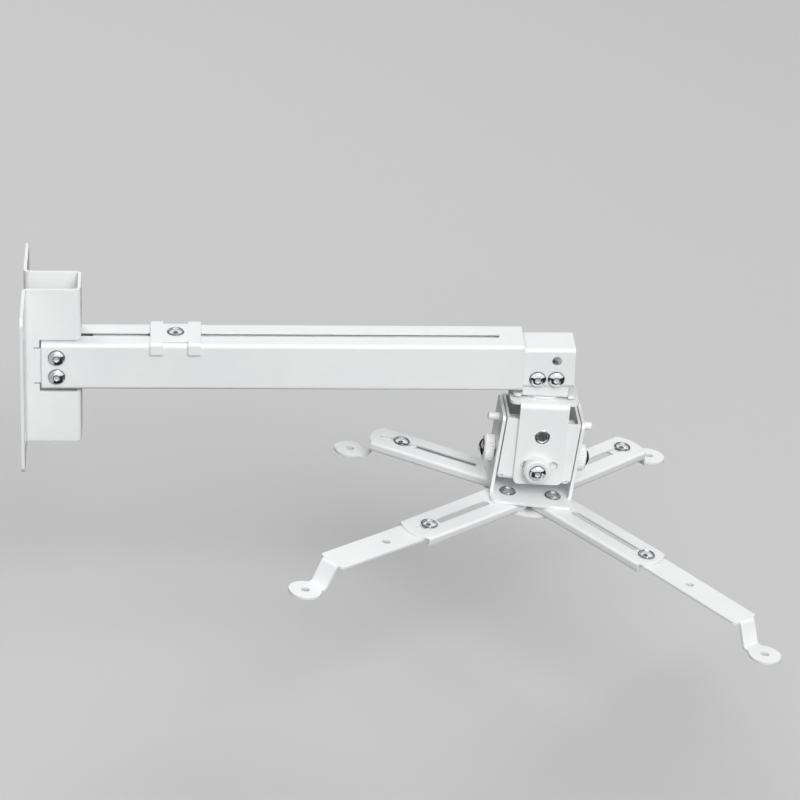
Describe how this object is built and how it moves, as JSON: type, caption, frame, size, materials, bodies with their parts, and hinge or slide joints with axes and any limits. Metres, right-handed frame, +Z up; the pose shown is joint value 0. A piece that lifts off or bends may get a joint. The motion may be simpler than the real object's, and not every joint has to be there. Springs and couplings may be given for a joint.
{
  "type": "projector wall and ceiling mount",
  "caption": "White steel wall arm with a sliding square tube, a head that swivels, rolls and tilts, and adjustable legs with foot eyes that screw to a projector.",
  "frame": {"origin": "on the wall plane, where the axis of the arm meets it", "axes": "+X out from the wall along the arm, +Y to the left of someone who faces the wall, +Z up"},
  "size_m": [0.5673, 0.3285, 0.2189],
  "materials": {
    "white_coat": "satin white powder coat",
    "white_rod": "white painted steel rod",
    "white_knurl": "white moulded washer with a knurled rim",
    "bright_screw": "bright plated dome head screws and eyelets",
    "plain_nut": "plated hex nuts"
  },
  "bodies": {
    "wall_unit": {"wall_bracket": "white_coat", "outer_tube": "white_coat", "wall_bolts": "bright_screw", "wall_nuts": "plain_nut"},
    "arm": {"inner_tube": "white_coat", "arm_clip": "white_coat", "clip_screw": "bright_screw", "clip_nut": "plain_nut", "connector": "white_coat", "end_bolts": "bright_screw", "end_nuts": "plain_nut", "friction_disc": "white_coat", "swivel_bolt": "bright_screw", "swivel_nut": "plain_nut"},
    "swivel_head": {"upper_bracket": "white_coat", "roll_eyelets": "bright_screw"},
    "roll_head": {"roll_box": "white_coat", "roll_bolts": "bright_screw", "roll_washers": "white_knurl", "roll_nuts": "plain_nut", "tilt_rod": "white_rod", "tilt_bolts": "bright_screw", "tilt_washers": "white_knurl", "tilt_nuts": "plain_nut"},
    "platform": {"lower_bracket": "white_coat", "base_disc": "white_coat", "leg_screws": "bright_screw", "leg_nuts": "plain_nut"},
    "leg_front_left": {"leg_front_left": "white_coat"},
    "foot_front_left": {"bar_front_left": "white_coat", "bar_screw_front_left": "bright_screw", "bar_nut_front_left": "plain_nut"},
    "leg_front_right": {"leg_front_right": "white_coat"},
    "foot_front_right": {"bar_front_right": "white_coat", "bar_screw_front_right": "bright_screw", "bar_nut_front_right": "plain_nut"},
    "leg_back_left": {"leg_back_left": "white_coat"},
    "foot_back_left": {"bar_back_left": "white_coat", "bar_screw_back_left": "bright_screw", "bar_nut_back_left": "plain_nut"},
    "leg_back_right": {"leg_back_right": "white_coat"},
    "foot_back_right": {"bar_back_right": "white_coat", "bar_screw_back_right": "bright_screw", "bar_nut_back_right": "plain_nut"}
  },
  "joints": [
    {"name": "arm_slide", "type": "slide", "parent": "wall_unit", "child": "arm", "axis": [1, 0, 0], "range_m": [0, 0.22]},
    {"name": "head_swivel", "type": "hinge", "parent": "arm", "child": "swivel_head", "pos_m": [0.39828, 0, -0.02857], "axis": [0.0541, 0, 0.9985], "continuous": true},
    {"name": "head_roll", "type": "hinge", "parent": "swivel_head", "child": "roll_head", "pos_m": [0.39681, 0, -0.05583], "axis": [-0.0174, 0.9998, 0.0009], "range_deg": [-19, 11]},
    {"name": "head_tilt", "type": "hinge", "parent": "roll_head", "child": "platform", "pos_m": [0.39704, 0, -0.05395], "axis": [0.9922, 0.0174, -0.1236], "range_deg": [-15, 15]},
    {"name": "swing_front_left", "type": "hinge", "parent": "platform", "child": "leg_front_left", "pos_m": [0.37249, -0.01748, -0.10952], "axis": [0.1236, 0.0012, 0.9923], "range_deg": [-40.2, 43.8]},
    {"name": "slide_front_left", "type": "slide", "parent": "leg_front_left", "child": "foot_front_left", "axis": [-0.7113, -0.6971, 0.0894], "range_m": [-0.054, 0.0098]},
    {"name": "swing_front_right", "type": "hinge", "parent": "platform", "child": "leg_front_right", "pos_m": [0.40781, -0.01686, -0.11392], "axis": [0.1236, 0.0012, 0.9923], "range_deg": [-38.2, 45.8]},
    {"name": "slide_front_right", "type": "slide", "parent": "leg_front_right", "child": "foot_front_right", "axis": [0.6667, -0.7408, -0.0821], "range_m": [-0.0638, 0]},
    {"name": "swing_back_left", "type": "hinge", "parent": "platform", "child": "leg_back_left", "pos_m": [0.37189, 0.01672, -0.10948], "axis": [0.1236, 0.0012, 0.9923], "range_deg": [-62.3, 21.7]},
    {"name": "slide_back_left", "type": "slide", "parent": "leg_back_left", "child": "foot_back_left", "axis": [-0.9087, 0.402, 0.1127], "range_m": [-0.05, 0.0138]},
    {"name": "swing_back_right", "type": "hinge", "parent": "platform", "child": "leg_back_right", "pos_m": [0.40721, 0.01734, -0.11389], "axis": [0.1236, 0.0012, 0.9923], "range_deg": [-41.8, 42.2]},
    {"name": "slide_back_right", "type": "slide", "parent": "leg_back_right", "child": "foot_back_right", "axis": [0.6917, 0.7169, -0.087], "range_m": [-0.059, 0.0048]}
  ]
}
